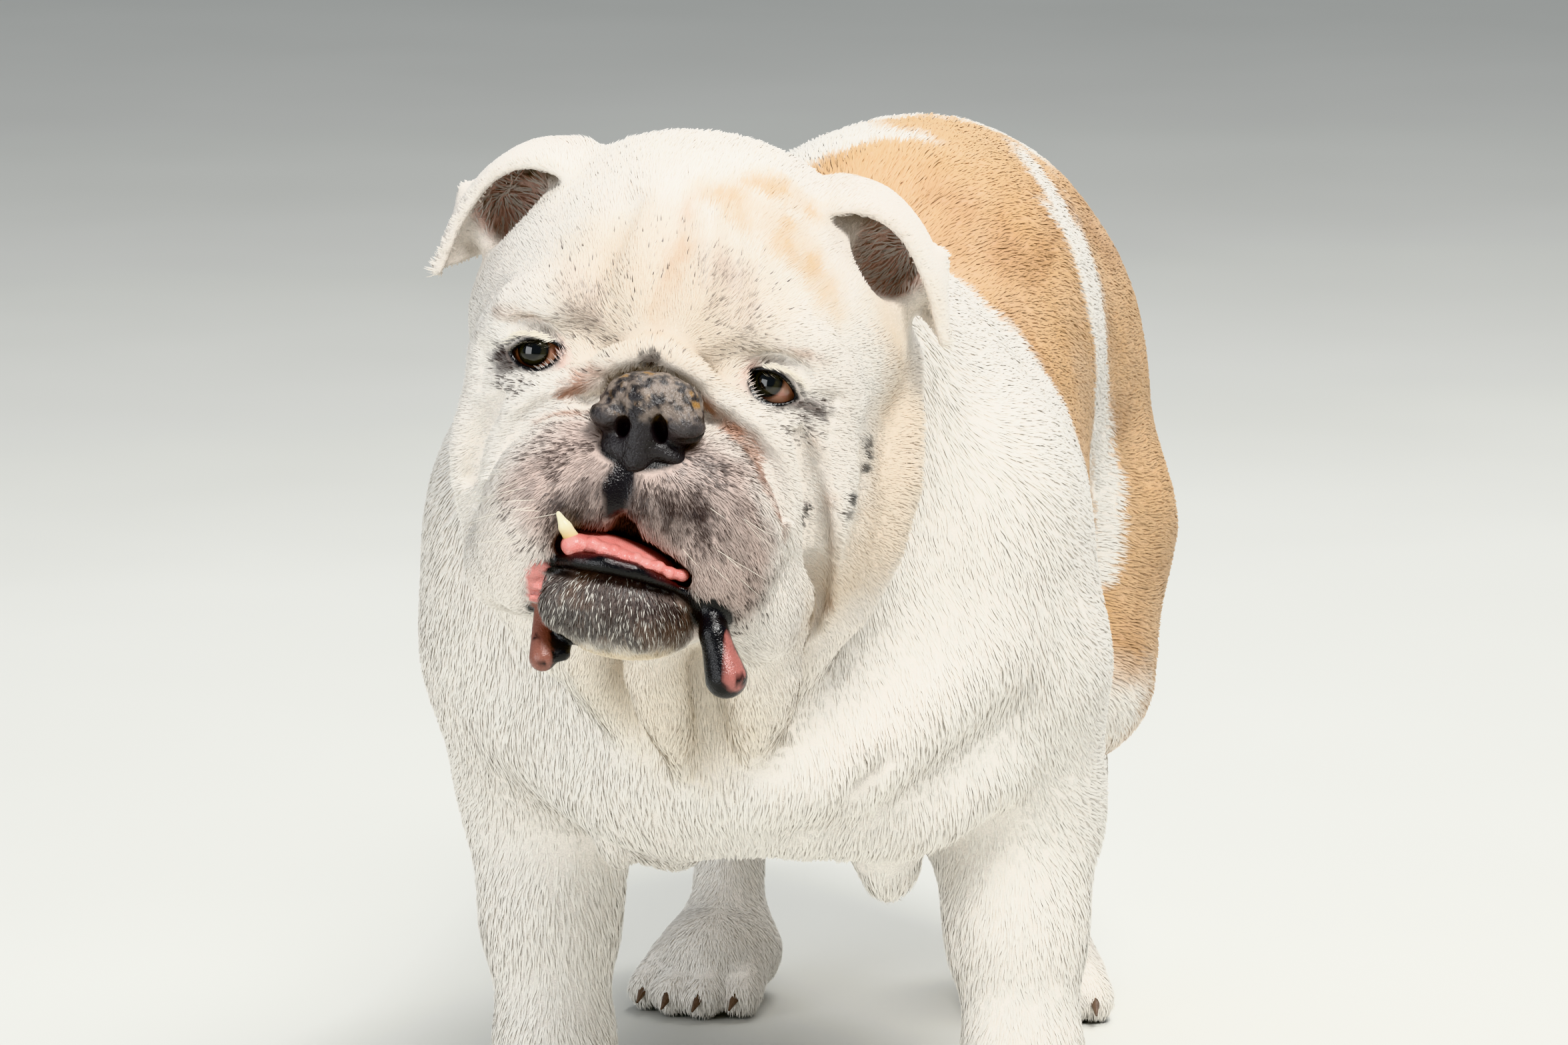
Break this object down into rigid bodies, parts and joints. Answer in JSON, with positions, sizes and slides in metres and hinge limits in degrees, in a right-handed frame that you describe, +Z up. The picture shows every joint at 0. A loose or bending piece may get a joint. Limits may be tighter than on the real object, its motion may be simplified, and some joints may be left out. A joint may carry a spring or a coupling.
{
  "type": "english bulldog",
  "caption": "Standing English bulldog with a broad wrinkled head, small folded ears, hanging upper lips, a wide chest, short bowed forelegs and a stub tail.",
  "frame": {"origin": "on the floor under the middle of the whole animal", "axes": "+Z up, the dog looks along -Y, its left side is +X"},
  "size_m": [0.2944, 0.7028, 0.4737],
  "materials": {
    "coat": "short smooth coat, white with tan",
    "nose_leather": "grained, damp",
    "chin": "grizzled skin, glossy lip",
    "tongue": "wet",
    "tooth": "satin",
    "eye": "wet"
  },
  "bodies": {
    "root": {"eye_right": "eye", "ear_right": "coat", "eye_left": "eye", "ear_left": "coat", "lower_jaw": "chin", "nose": "nose_leather", "tongue": "tongue", "canine": "tooth", "head": "coat", "neck": "coat", "forepaw_right": "coat", "foreleg_right": "coat", "hindpaw_right": "coat", "hindleg_right": "coat", "forepaw_left": "coat", "foreleg_left": "coat", "hindpaw_left": "coat", "hindleg_left": "coat", "tail": "coat", "torso": "coat"}
  },
  "joints": []
}
